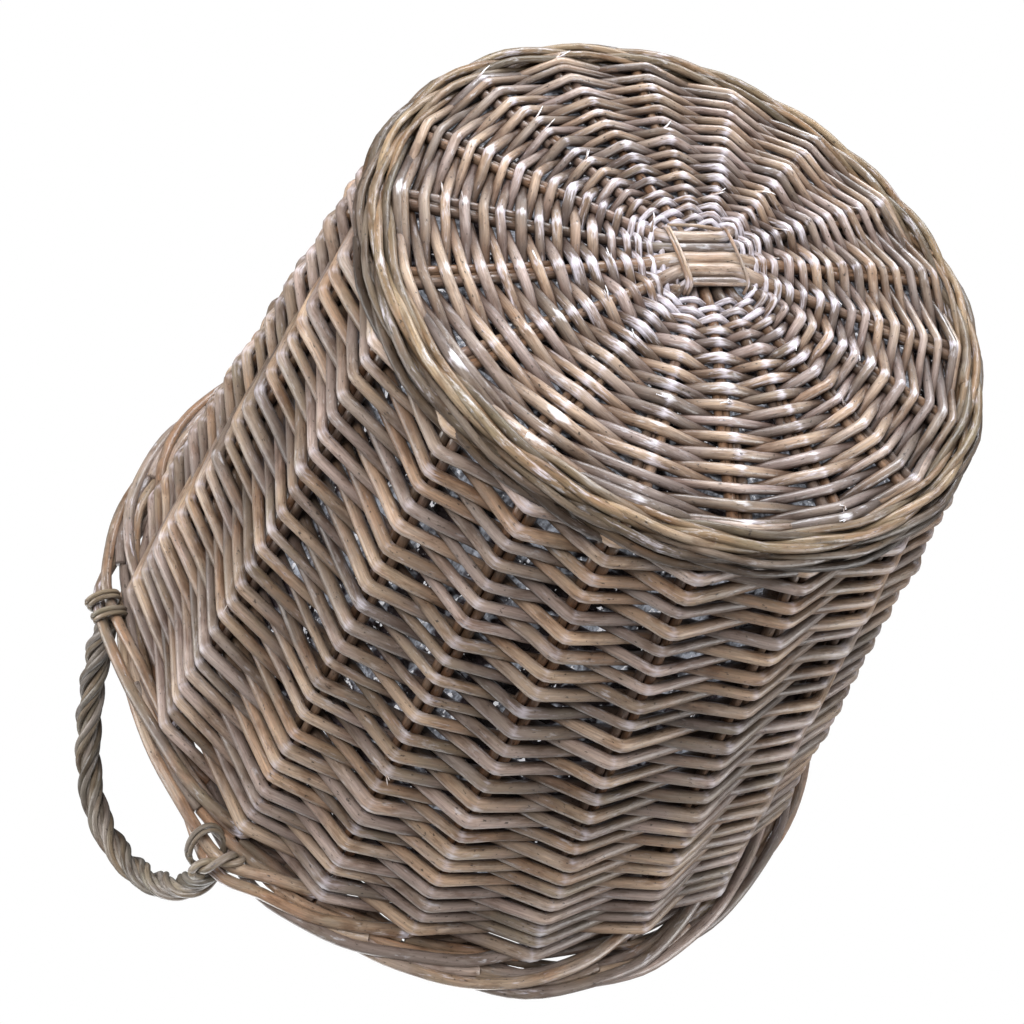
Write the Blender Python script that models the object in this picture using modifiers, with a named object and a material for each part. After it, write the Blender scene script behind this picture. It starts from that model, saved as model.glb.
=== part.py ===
"""Willow planter basket: a round flared basket with a rope handle on each side.

Metres, +Z up. The origin is the centre of the foot, on the ground, and the two
handles stand over +X and -X. Doubled stakes rise from the edge of the base,
weavers run in front of one stake and behind the next, and above the weave each
stake bends sideways into the border that the handles hold on to.
"""
import math

import bmesh
import bpy
from mathutils import Vector

# Overall sizes
BASKET_HEIGHT = 0.400
FOOT_RADIUS = 0.182
MOUTH_RADIUS = 0.2575

# Clearance between pieces that touch, and between the base and the ground
GAP = 0.0003
GROUND_GAP = 0.0006

# Rods of the wall: diameters, or thickness across the flats for a weaver
STAKE_ROD = 0.0059
STAKE_SPREAD = 0.0048
WEAVER_ROD = 0.0064
WEAVER_RISE = 0.0079
WALE_ROD = 0.0046
WALE_STEP = 0.0050
WALE_COUNT = 3
BORDER_ROD = 0.0076
BORDER_ROOM = 0.0230
BEND_ROOM = 0.0015
WALL_BANDS = 5

# Rods of the base
STICK_ROD = 0.0064
STICK_SPACING = 0.0068
STICKS_BELOW = 5
STICKS_ABOVE = 4
BASE_WEAVER_ROD = 0.0052
BASE_ROW_SPACING = 0.0076
SLATH_SHIFT = Vector((-0.0164, 0.0079, 0.0))
SLATH_TURN_DEG = 12.0
TIE_ROD = 0.0030

# Film that lines the inside
LINER_WALL = 0.0008
LINER_DROP = 0.028
LINER_SIDES = 30

# Handles
ROPE_DIAMETER = 0.0175
ROPE_STRANDS = 3
ROPE_LAY = 0.105
HANDLE_RISE = 0.130
HANDLE_TILT_DEG = 79.0
LOOP_ROD = 0.0034
LOOP_ROOM = 0.0040

# Stakes set by eye: number, angle at the foot, angle at the rim. The stakes
# between two of these share the space evenly, clockwise seen from above.
STAKE_COUNT = 21
STAKE_MARKS = (
    (0, 22.6, 22.0),
    (1, 4.0, -1.7),
    (2, -16.4, -22.0),
    (3, -33.1, -36.4),
    (4, -46.7, -50.6),
    (5, -60.6, -68.9),
    (6, -80.3, -87.0),
    (7, -100.3, -103.0),
    (10, -158.0, -158.0),
    (13, -202.0, -202.0),
    (STAKE_COUNT, -337.4, -338.0),
)
HANDLE_STAKES = {"handle_a": (0, 2), "handle_b": (10, 13)}

# Way of a border rod: stakes passed, then border rods outward of the stakes
# and border rods below the rod at the very top
BORDER_ROUTE = (
    (0.30, 0.5, 1.9),
    (0.65, 1.85, 1.4),
    (1.00, 2.9, 0.9),
    (1.35, 2.6, 0.6),
    (1.65, 1.5, 0.2),
    (2.00, 0.5, 0.0),
    (2.65, 0.0, 0.0),
    (3.20, -0.8, 0.6),
)

WILLOW = (0.27, 0.20, 0.14)
WILLOW_DARK = (0.13, 0.10, 0.07)
WILLOW_PALE = (0.46, 0.35, 0.24)
WILLOW_GOLD = (0.52, 0.36, 0.16)
WILLOW_GREY = (0.20, 0.17, 0.13)
FILM = (0.86, 0.87, 0.88)


# Scene and materials

def clear_scene():
    for item in list(bpy.data.objects):
        bpy.data.objects.remove(item)
    for group in list(bpy.data.collections):
        bpy.data.collections.remove(group)


def new_collection(name):
    group = bpy.data.collections.new(name)
    bpy.context.scene.collection.children.link(group)
    return group


def material(name, colour, roughness, alpha=1.0):
    made = bpy.data.materials.new(name)
    made.use_nodes = True
    shader = made.node_tree.nodes["Principled BSDF"]
    shader.inputs["Base Color"].default_value = (*colour, 1.0)
    shader.inputs["Roughness"].default_value = roughness
    shader.inputs["Metallic"].default_value = 0.0
    shader.inputs["Alpha"].default_value = alpha
    made.diffuse_color = (*colour, alpha)
    return made


def add_object(name, data, group, look):
    made = bpy.data.objects.new(name, data)
    data.materials.append(look)
    group.objects.link(made)
    return made


# Tubes

def tube(name, points, rod, group, look, sides=6, closed=False, scale=None, turn=0.0):
    """A rod through the points. Four sides lie flat, rod across the flats."""
    curve = bpy.data.curves.new(name, "CURVE")
    curve.dimensions = "3D"
    curve.twist_mode = "Z_UP" if sides == 4 else "MINIMUM"
    curve.bevel_resolution = sides // 2 - 2
    curve.bevel_depth = rod / 2
    curve.use_fill_caps = True
    if sides == 4:
        curve.bevel_depth = rod / math.sqrt(2)
        turn = math.pi / 4
    spline = curve.splines.new("POLY")
    spline.points.add(len(points) - 1)
    for index, point in enumerate(points):
        spline.points[index].co = (*point, 1.0)
        spline.points[index].tilt = turn
        if scale:
            spline.points[index].radius = scale[index]
    spline.use_cyclic_u = closed
    return add_object(name, curve, group, look)


def as_mesh(curve_object):
    """The same tube as a mesh with welded caps, in place of the curve."""
    bpy.context.view_layer.update()
    evaluated = curve_object.evaluated_get(bpy.context.evaluated_depsgraph_get())
    mesh = bpy.data.meshes.new_from_object(evaluated)
    shell = bmesh.new()
    shell.from_mesh(mesh)
    bmesh.ops.remove_doubles(shell, verts=shell.verts, dist=0.00001)
    shell.to_mesh(mesh)
    shell.free()
    name = curve_object.name
    group = curve_object.users_collection[0]
    place = curve_object.matrix_world.copy()
    bpy.data.objects.remove(curve_object)
    made = bpy.data.objects.new(name, mesh)
    made.matrix_world = place
    mesh.shade_smooth()
    group.objects.link(made)
    return made


# Stakes

def polar(angle, radius, height):
    return Vector((radius * math.cos(angle), radius * math.sin(angle), height))


def outward(point):
    return Vector((point.x, point.y, 0.0)).normalized()


def outward_length(point):
    return math.hypot(point.x, point.y)


def mark_angles(column):
    """The angle of every stake, in radians, from the marks in one column."""
    angles = []
    for low, high in zip(STAKE_MARKS, STAKE_MARKS[1:]):
        steps = high[0] - low[0]
        for step in range(steps):
            share = step / steps
            angles.append(math.radians(low[column] * (1 - share) + high[column] * share))
    return angles


def stake_angle(angles, number):
    """The angle of a stake by its number, which may run on past a full turn."""
    turns, index = divmod(number, STAKE_COUNT)
    return angles[index] - turns * math.tau


def stand_off(slope, rod, weaver, spread=0.0):
    """How far a sloping weaver's centre stands off the rod or pair it crosses."""
    reach = (rod / 2 + GAP) * math.sqrt(1 + slope * slope)
    return reach + spread / 2 * slope + weaver / 2


def stands(spans, radius, rod, weaver, spread=0.0):
    """The same outside and inside a round wall, from the spans on both sides."""
    out = inside = rod / 2 + GAP + weaver / 2
    for _ in range(8):
        both = out + inside
        out = max(stand_off(both / span + span / (2 * radius), rod, weaver, spread)
                  for span in spans)
        inside = max(stand_off(max(both / span - span / (2 * radius), 0.0), rod, weaver, spread)
                     for span in spans)
    return out, inside


FOOT_ANGLES = mark_angles(1)
RIM_ANGLES = mark_angles(2)
FOOT_GAPS = [FOOT_ANGLES[i] - stake_angle(FOOT_ANGLES, i + 1) for i in range(STAKE_COUNT)]
WALL_SLOPE = (MOUTH_RADIUS - FOOT_RADIUS) / BASKET_HEIGHT
# A level weaver meets a leaning stake as if it were thicker
STAKE_MET = STAKE_ROD + WEAVER_ROD * WALL_SLOPE
STAKE_DEPTH, STAKE_COVER = [WEAVER_ROD / 2 + stand for stand in stands(
    [min(FOOT_GAPS) * (FOOT_RADIUS - 2 * WEAVER_ROD), max(FOOT_GAPS) * FOOT_RADIUS],
    FOOT_RADIUS, STAKE_MET, WEAVER_ROD, STAKE_SPREAD)]


def stake_radius(height):
    """Radius of the cone that the stakes' centres stand on."""
    return FOOT_RADIUS + WALL_SLOPE * height - STAKE_DEPTH


STAKE_FOOT = WALE_ROD + GAP + STAKE_ROD / 2 * WALL_SLOPE
WEAVE_TOP = BASKET_HEIGHT - BORDER_ROOM


def stake_point(number, height):
    """A point on the straight centre line of a stake pair."""
    low = polar(stake_angle(FOOT_ANGLES, number), stake_radius(STAKE_FOOT), STAKE_FOOT)
    high = polar(stake_angle(RIM_ANGLES, number), stake_radius(WEAVE_TOP), WEAVE_TOP)
    return low.lerp(high, (height - STAKE_FOOT) / (WEAVE_TOP - STAKE_FOOT))


def stake_spans(number, height):
    """The gaps between the stakes around one stake."""
    row = [stake_point(number + step, height) for step in range(-2, 3)]
    return [(far - near).length for near, far in zip(row, row[1:])]


def border_point(number, passed, out_rods, drop_rods):
    """A point on a border rod, some stakes on from the stake it grows from."""
    whole = math.floor(passed)
    share = passed - whole
    low = stake_angle(RIM_ANGLES, number - whole)
    high = stake_angle(RIM_ANGLES, number - whole - 1)
    height = BASKET_HEIGHT - BORDER_ROD / 2 - drop_rods * BORDER_ROD
    radius = stake_radius(height) + out_rods * BORDER_ROD
    return polar(low + (high - low) * share, radius, height)


def add_stake(number, group, cutters, look):
    """Two rods side by side. One goes on, bent sideways, as a border rod."""
    foot = stake_point(number, STAKE_FOOT)
    top = stake_point(number, WEAVE_TOP)
    side = outward(foot).cross(Vector((0.0, 0.0, 1.0))) * STAKE_SPREAD / 2
    route = [border_point(number, *step) for step in BORDER_ROUTE]
    growth = BORDER_ROD / STAKE_ROD
    scale = [1.0, 1.0] + [growth] * len(route)
    name = f"stake_{number + 1:02d}"
    long_rod = tube(name, [foot - side, top - side] + route, STAKE_ROD, group, look, scale=scale)
    short_rod = tube(f"{name}_second", [foot + side, top + side], STAKE_ROD, cutters, look)
    stake = as_mesh(long_rod)
    second = as_mesh(short_rod)
    second.hide_render = True
    second.display_type = "WIRE"
    join = stake.modifiers.new("second rod", "BOOLEAN")
    join.operation = "UNION"
    join.solver = "EXACT"
    join.object = second
    return stake


# Base: crossed sticks that fan out, woven over and under

SLATH_HALF_BELOW = STICK_SPACING * STICKS_BELOW / 2
SLATH_HALF_ABOVE = STICK_SPACING * STICKS_ABOVE / 2
STICK_COUNT = STICKS_BELOW + STICKS_ABOVE
STICK_LIFT = (STICK_ROD + GAP) / 2
STICK_END = stake_radius(STAKE_FOOT) - STAKE_ROD / 2 - 2 * GAP
FAN_START = 0.10
WEAVE_START = 0.15


def spoke_ends(number):
    """Where spoke NUMBER leaves the slath, and where it meets the wall."""
    stick = number % STICK_COUNT
    below = stick < STICKS_BELOW
    middle = (STICKS_BELOW - 1) / 2 if below else STICKS_BELOW + (STICKS_ABOVE - 1) / 2
    across = (stick - middle) * STICK_SPACING
    along = (SLATH_HALF_ABOVE if below else SLATH_HALF_BELOW) + STICK_SPACING / 4
    axis = math.radians(SLATH_TURN_DEG) + (0.0 if below else math.pi / 2)
    if number // STICK_COUNT % 2:
        axis += math.pi
    start = Vector((along * math.cos(axis) - across * math.sin(axis),
                    along * math.sin(axis) + across * math.cos(axis), 0.0))
    fan = axis + (stick - middle) * math.pi / STICK_COUNT
    return start + SLATH_SHIFT, polar(fan, STICK_END, 0.0)


def spoke_point(number, share, height):
    start, end = spoke_ends(number)
    return start.lerp(end, share) + Vector((0.0, 0.0, height))


def spoke_span(number, share):
    """Distance from a spoke, square to it, to its nearer neighbour."""
    here = spoke_point(number, share, 0.0)
    along = (spoke_ends(number)[1] - here).normalized()
    return min((spoke_point(number + side, share, 0.0) - here).cross(along).length
               for side in (-1, 1))


def spoke_skew(number, share):
    """How far a weaver strays from square across a spoke, as a slope."""
    here = spoke_point(number, share, 0.0)
    along = (spoke_ends(number)[1] - here).normalized()
    runs = [spoke_point(number + side, share, 0.0) - here for side in (-1, 1)]
    return max(abs(run.dot(along)) / run.cross(along).length for run in runs)


def base_weave(strand):
    """One of two spirals that chase each other: level points and thicknesses.

    The spokes are even in number, so one weaver alone would not alternate.
    """
    spokes = 2 * STICK_COUNT
    reach = STICK_END - SLATH_HALF_BELOW
    pitch = BASE_ROW_SPACING / reach
    last = 1.0 - (BASE_WEAVER_ROD / 2 + 2 * GAP) / reach
    rows = int((last - WEAVE_START) / pitch)
    points = []
    rods = []
    for step in range(-1, (rows - 1) * spokes // 2 + 2):
        share = WEAVE_START + pitch * (strand + 2 * step / spokes)
        span = min(spoke_span(step + beside, share) for beside in (-1, 0, 1))
        rod = min(BASE_WEAVER_ROD, span / 4)
        edge = rod * spoke_skew(step, share)
        stand = max(stands([span], math.inf, STICK_ROD, rod, edge))
        side = 1 if (step + strand) % 2 == 0 else -1
        points.append(spoke_point(step, share, stand * side))
        rods.append(rod)
    points[0] = points[0].lerp(points[1], 0.5)
    points[-1] = points[-1].lerp(points[-2], 0.5)
    return points, rods


BASE_HALF = max(abs(point.z) + rod / 2 for strand in (0, 1)
                for point, rod in zip(*base_weave(strand)))
STICK_HEIGHT = GROUND_GAP + BASE_HALF
BASE_TOP = STICK_HEIGHT + BASE_HALF


def add_sticks(group, look):
    for stick in range(STICK_COUNT):
        below = stick < STICKS_BELOW
        lift = -STICK_LIFT if below else STICK_LIFT
        ends = STICKS_BELOW - 1 if below else STICKS_BELOW + STICK_COUNT - 1
        other = STICK_COUNT + ends - stick
        points = [
            spoke_point(other, 1.0, STICK_HEIGHT),
            spoke_point(other, FAN_START, STICK_HEIGHT),
            spoke_point(other, 0.0, STICK_HEIGHT + lift),
            spoke_point(stick, 0.0, STICK_HEIGHT + lift),
            spoke_point(stick, FAN_START, STICK_HEIGHT),
            spoke_point(stick, 1.0, STICK_HEIGHT),
        ]
        tube(f"base_stick_{stick + 1}", points, STICK_ROD, group, look)


def add_base_weavers(group, look):
    for strand in (0, 1):
        level, rods = base_weave(strand)
        points = [point + Vector((0.0, 0.0, STICK_HEIGHT)) for point in level]
        scale = [rod / BASE_WEAVER_ROD for rod in rods]
        tube(f"base_weaver_{strand + 1}", points, BASE_WEAVER_ROD, group, look,
             sides=4, scale=scale)


def add_slath_tie(group, look):
    """A thin rod around the crossing, under the ends of the lower sticks."""
    height = STICK_HEIGHT - STICK_LIFT - STICK_ROD / 2 - GAP - TIE_ROD / 2
    corners = (0, STICKS_BELOW - 1, STICKS_BELOW, STICK_COUNT - 1)
    points = []
    for turn in (0, STICK_COUNT):
        for stick in corners:
            points.append(spoke_point(turn + stick, 0.0, height))
    tube("slath_tie", points, TIE_ROD, group, look, sides=4, closed=True)


# Weave of the wall

FIRST_ROW = BASE_TOP + 2 * GAP + WEAVER_ROD / 2
LAST_ROW = WEAVE_TOP - BEND_ROOM - WEAVER_ROD / 2


def weave_point(step, height):
    """The weaver at one stake: outside it on even steps, inside on odd ones."""
    stake = stake_point(step, height)
    out, inside = stands(
        stake_spans(step, height), outward_length(stake), STAKE_MET, WEAVER_ROD, STAKE_SPREAD)
    return stake + outward(stake) * (out if step % 2 == 0 else -inside)


def weave_points():
    """One spiral around an odd number of stakes, so that its rows alternate."""
    rows = round((LAST_ROW - FIRST_ROW) / WEAVER_RISE)
    total = rows * STAKE_COUNT
    rise = (LAST_ROW - FIRST_ROW) / total
    points = [weave_point(step, FIRST_ROW + rise * step) for step in range(total + 1)]
    before = weave_point(-1, FIRST_ROW)
    after = weave_point(total + 1, LAST_ROW)
    return [points[0].lerp(before, 0.5)] + points + [points[-1].lerp(after, 0.5)]


def add_wall(group, look):
    """The spiral in bands, each starting where the one below it ends."""
    points = weave_points()
    cuts = [round(band * (len(points) - 1) / WALL_BANDS) for band in range(WALL_BANDS + 1)]
    for band in range(WALL_BANDS):
        run = points[cuts[band]:cuts[band + 1] + 1]
        if band > 0:
            run[0] = split_point(points, cuts[band], GAP)
        if band < WALL_BANDS - 1:
            run.append(split_point(points, cuts[band + 1], -GAP))
        tube(f"wall_weave_{band + 1}", run, WEAVER_ROD, group, look, sides=4)


def split_point(points, index, shift):
    """Half way along the run after a point, moved along it by a shift."""
    run = points[index + 1] - points[index]
    return points[index] + run / 2 + run.normalized() * shift


# Foot: a wale under the stakes and more around their outside

def ring_points(height, stand):
    points = []
    for number in range(STAKE_COUNT):
        stake = stake_point(number, height)
        points.append(stake + outward(stake) * stand)
    return points


def add_wales(group, look):
    stand = stand_off(math.tan(max(FOOT_GAPS) / 2), STAKE_MET, WALE_ROD, STAKE_SPREAD)
    tube("foot_wale_1", ring_points(WALE_ROD / 2, 0.0), WALE_ROD, group, look, sides=4, closed=True)
    for turn in range(WALE_COUNT):
        height = WALE_ROD + WALE_STEP * turn
        ring = ring_points(height, stand)
        tube(f"foot_wale_{turn + 2}", ring, WALE_ROD, group, look, sides=4, closed=True)


# Liner

def add_liner(group, look):
    floor = BASE_TOP + GAP
    top = BASKET_HEIGHT - LINER_DROP
    lean = max(stake_radius(height) - outward_length(stake_point(number, height))
               for number in range(STAKE_COUNT) for height in (floor, (floor + top) / 2))
    inset = STAKE_COVER + lean + WEAVER_ROD / 2 * WALL_SLOPE + GAP
    shell = bmesh.new()
    bmesh.ops.create_cone(
        shell, cap_ends=True, segments=LINER_SIDES, depth=top - floor,
        radius1=stake_radius(floor) - inset, radius2=stake_radius(top) - inset)
    lid = [face for face in shell.faces if face.normal.z > 0.9]
    bmesh.ops.delete(shell, geom=lid, context="FACES_ONLY")
    mesh = bpy.data.meshes.new("liner")
    shell.to_mesh(mesh)
    shell.free()
    liner = add_object("liner", mesh, group, look)
    liner.location.z = (floor + top) / 2
    wall = liner.modifiers.new("wall", "SOLIDIFY")
    wall.thickness = LINER_WALL
    wall.offset = -1.0
    wall.use_even_offset = True
    return liner


# Handles

def rope_section(cutters):
    """Outline of the rope: a rounded lobe for each strand."""
    curve = bpy.data.curves.new("rope_section", "CURVE")
    curve.dimensions = "2D"
    spline = curve.splines.new("POLY")
    count = 2 * ROPE_STRANDS
    spline.points.add(count - 1)
    for index in range(count):
        angle = -math.tau * index / count
        radius = ROPE_DIAMETER / 2 * (1.0 if index % 2 == 0 else 0.8)
        spline.points[index].co = (radius * math.cos(angle), radius * math.sin(angle), 0.0, 1.0)
    spline.use_cyclic_u = True
    guide = bpy.data.objects.new("rope_section", curve)
    guide.hide_render = True
    guide.display_type = "WIRE"
    cutters.objects.link(guide)
    return guide


def rope_points(half_span, start, count=21):
    """The arch in the handle's own frame: hinge on Y, leaning from X to Z."""
    tilt = math.radians(HANDLE_TILT_DEG)
    across = Vector((0.0, 1.0, 0.0))
    up = Vector((math.cos(tilt), 0.0, math.sin(tilt)))
    points = []
    for step in range(count):
        turn = math.pi * step / (count - 1)
        side = math.copysign(abs(math.cos(turn)) ** 1.1, math.cos(turn)) * half_span
        rise = start + math.sin(turn) ** 1.1 * (HANDLE_RISE - start)
        points.append(across * side + up * rise)
    return points


def add_handle(name, group, section, look):
    """A rope arch on two pairs of loops, turning on the border's kinks."""
    kink = max(BORDER_ROUTE, key=lambda step: step[1])
    ends = []
    for stake in HANDLE_STAKES[name]:
        ends.append(border_point(stake + 1, *kink))
    axis = ends[0] - ends[1]
    middle = (ends[0] + ends[1]) / 2
    pivot = bpy.data.objects.new(f"{name}_pivot", None)
    pivot.location = middle
    pivot.rotation_euler.z = math.atan2(axis.y, axis.x) - math.pi / 2
    group.objects.link(pivot)
    half_span = axis.length / 2
    inner = BORDER_ROD / 2 + LOOP_ROOM
    outer = inner + LOOP_ROD
    points = rope_points(half_span, outer + GAP)
    curve = bpy.data.curves.new(f"{name}_rope", "CURVE")
    curve.dimensions = "3D"
    curve.twist_mode = "MINIMUM"
    curve.bevel_mode = "OBJECT"
    curve.bevel_object = section
    curve.use_fill_caps = True
    spline = curve.splines.new("POLY")
    spline.points.add(len(points) - 1)
    length = 0.0
    for index, point in enumerate(points):
        if index:
            length += (point - points[index - 1]).length
        spline.points[index].co = (*point, 1.0)
        spline.points[index].tilt = math.tau * length / ROPE_LAY
    rope = add_object(f"{name}_rope", curve, group, look)
    rope.parent = pivot
    for number in range(4):
        end = 1 if number < 2 else -1
        beside = (0.5 if number % 2 == 0 else -0.5) * (LOOP_ROD + GAP)
        bpy.ops.mesh.primitive_torus_add(
            major_segments=10, minor_segments=4, major_radius=inner + LOOP_ROD / 2,
            minor_radius=LOOP_ROD / 2, rotation=(math.pi / 2, 0.0, 0.0),
            location=(0.0, end * half_span + beside, 0.0))
        loop = bpy.context.object
        loop.name = f"{name}_loop_{number + 1}"
        loop.data.name = loop.name
        for owner in list(loop.users_collection):
            owner.objects.unlink(loop)
        group.objects.link(loop)
        loop.data.materials.append(look)
        loop.data.shade_smooth()
        loop.parent = pivot


def main():
    clear_scene()
    basket = new_collection("willow planter basket")
    cutters = new_collection("cutters")
    grey = material("willow_weathered", WILLOW, 0.6)
    dark = material("willow_stake", WILLOW_DARK, 0.65)
    pale = material("willow_base", WILLOW_PALE, 0.55)
    gold = material("willow_wale", WILLOW_GOLD, 0.55)
    rope = material("willow_rope", WILLOW_GREY, 0.65)
    film = material("clear_film", FILM, 0.15, alpha=0.35)
    for number in range(STAKE_COUNT):
        add_stake(number, basket, cutters, dark)
    add_wall(basket, grey)
    add_wales(basket, gold)
    add_sticks(basket, pale)
    add_base_weavers(basket, pale)
    add_slath_tie(basket, pale)
    add_liner(basket, film)
    section = rope_section(cutters)
    for name in HANDLE_STAKES:
        add_handle(name, basket, section, rope)


main()
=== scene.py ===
"""Willow planter basket: the dressed model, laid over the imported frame."""
import math
import random

import bmesh
import bpy
import numpy as np
from mathutils import Matrix, Vector, noise


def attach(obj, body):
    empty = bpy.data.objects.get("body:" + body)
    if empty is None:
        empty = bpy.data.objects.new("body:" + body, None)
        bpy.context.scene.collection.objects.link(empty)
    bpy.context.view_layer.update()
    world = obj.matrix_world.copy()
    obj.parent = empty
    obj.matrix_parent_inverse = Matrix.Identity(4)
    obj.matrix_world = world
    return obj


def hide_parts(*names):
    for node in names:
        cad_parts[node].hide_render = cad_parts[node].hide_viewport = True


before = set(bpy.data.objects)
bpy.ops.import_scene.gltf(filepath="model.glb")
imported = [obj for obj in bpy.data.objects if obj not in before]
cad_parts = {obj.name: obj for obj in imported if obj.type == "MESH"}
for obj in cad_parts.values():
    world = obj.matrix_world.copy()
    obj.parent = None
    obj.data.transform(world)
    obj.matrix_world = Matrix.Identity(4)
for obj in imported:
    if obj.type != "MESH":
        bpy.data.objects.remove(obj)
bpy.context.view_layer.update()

# Without a seed noise_vector takes a new start from the clock in every run
noise.seed_set(1)

bl_info = {
    "name": "Willow planter basket",
    "version": (1, 0, 0),
    "blender": (4, 5, 0),
    "location": "View3D > Sidebar > Basket",
    "description": "Weaves a round willow planter basket, rod by rod",
    "category": "Add Mesh",
}

# Stakes: number, angle at the foot and at the rim in degrees. The stakes
# between two of these share the space evenly.
STAKE_COUNT = 21
STAKE_MARKS = (
    (0, 22.6, 22.0),
    (1, 4.0, -1.7),
    (2, -16.4, -22.0),
    (3, -33.1, -36.4),
    (4, -46.7, -50.6),
    (5, -60.6, -68.9),
    (6, -80.3, -87.0),
    (7, -100.3, -103.0),
    (10, -158.0, -158.0),
    (13, -202.0, -202.0),
    (STAKE_COUNT, -337.4, -338.0),
)
HANDLE_STAKES = {"handle_a": (0, 2), "handle_b": (10, 13)}

# Crossed sticks of the base
STICKS_BELOW = 5
STICKS_ABOVE = 4
STICK_COUNT = STICKS_BELOW + STICKS_ABOVE
STICK_SPACING = 0.0079
STICK_HEIGHT = 0.01094
SLATH_SHIFT = Vector((-0.0164, 0.0079, 0.0))
SLATH_TURN = math.radians(12.0)

# Ways of the two border rods of a stake, outer one first: stakes passed, rods
# outward of the stakes, rods below the top
BORDER_ROUTES = (
    ((0.07, 0.1, 2.30), (0.5, 1.45, 1.85), (1.0, 2.45, 1.35), (1.5, 2.85, 1.0), (2.0, 2.9, 0.6),
     (2.5, 2.2, 0.15), (3.0, 1.2, 0.0), (3.4, 0.2, 0.4)),
    ((0.07, 0.1, 1.90), (0.5, 0.8, 1.35), (1.0, 1.45, 0.95), (1.5, 1.2, 0.6), (2.0, 0.35, 0.3),
     (2.5, -0.8, 0.7), (2.95, -1.3, 1.5)),
)

# Short rods between them: outside the stakes, inside and over them
BORDER_FILLERS = (
    ((0.38, 1.8, 1.1), (0.65, 2.15, 0.9), (1.0, 2.1, 0.60), (1.4, 2.1, 0.9)),
    ((0.50, -1.0, 1.5), (0.75, -0.65, 1.0), (1.0, -0.55, 0.8), (1.25, -0.65, 1.0), (1.5, -1.0, 1.4)),
    ((0.05, 0.1, 1.2), (0.35, 0.05, 1.4), (0.65, 0.0, 1.35), (1.0, 0.1, 1.15)),
)

# How far the border strays outward: angle in degrees, rods
BORDER_STRAY = (
    (-360, 0.0), (-202, 0.0), (-180, -0.3), (-158, 0.0), (-135, -0.7), (-110, -0.7), (-87, 0.0),
    (-69, 0.0), (-52, -0.8), (-34, -0.6), (-22, 0.0), (-13, -1.0), (-3, -1.5), (10, -1.1),
    (22, 0.0), (60, 0.0),
)

# Where the same rods pass a handle's end, which takes the two outermost
SEAT_ROUTES = (
    {1.0: (2.52, 1.17), 2.0: (3.28, 0.63), 3.0: (0.95, 0.0)},
    {1.0: (0.75, 0.95), 2.0: (-0.15, 0.3)},
)
HANDLE_SEAT = (1.00, 2.9, 0.9)

# Loops of a handle's end, two at either end: how far along from the seat,
# rod diameter, wider on its outside, lean and its phase, turns of its two
# rods round each other
HANDLE_LOOPS = (
    (-0.0005, 0.0036, 0.0, 0.0010, 0.6, 0),
    (-0.0125, 0.0036, 0.0, 0.0022, 0.6, 0),
    (0.0120, 0.0034, 0.0035, 0.0080, 3.14, 0),
    (-0.0010, 0.0052, 0.0, 0.0030, 0.6, 2),
)

# Counts
WALL_BANDS = 5
ROPE_STRANDS = 3
STRAND_RODS = 4

# Heights of the stakes' feet, the first and last row, and the weave's top
STAKE_FOOT = 0.0055
ROWS_LOW = 0.0185
ROWS_HIGH = 0.3765
WEAVE_TOP = 0.377

# Rows of the base along a spoke: the first ones lie closer together
BASE_TIGHT_ROWS = 7
BASE_TIGHT_STEP = 0.0033
BASE_WIDE_STEP = 0.0050
BASE_FIRST_SHARE = 0.030
BASE_WOVEN_SHARE = 0.935

# The film: its lowest and highest edge, how far inside the stakes, its wall
FILM_LOW = 0.0225
FILM_HIGH = 0.370
FILM_INSET = 0.0108
FILM_WALL = 0.0003

# Diameters of the sticks at the crossing, the lower ones first, how far the two
# layers part there, and where and how thin a stick runs out beside its stakes
STICK_WIDTHS = (0.0054, 0.0092, 0.0092, 0.0062, 0.0076, 0.0072, 0.0072, 0.0072, 0.0072)
STICK_LIFT = 0.0033
SPOKE_WIDTH = 0.0064
STICK_THINS_FROM = 0.035
STICK_ENDS_FROM = 0.095
STICK_END_SHARE = 0.40

# A turn that counts as a kink, in radians, how far a bend is rounded and how far
# a rod runs on past its last stake
KINK = 0.38
BEND_REACH = 0.0034
TAIL = 0.004

# Torn fibres: the lowest they hang over the ground, and how pale their bark is
FIBRE_FLOOR = 0.0010
FIBRE_TORN = 0.6

LENS = 56.25
LIGHT_DISTANCE = 1.6
SURROUNDINGS = 0.24
WHITE = (1.0, 1.0, 1.0)
UP = Vector((0.0, 0.0, 1.0))


# Settings

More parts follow.
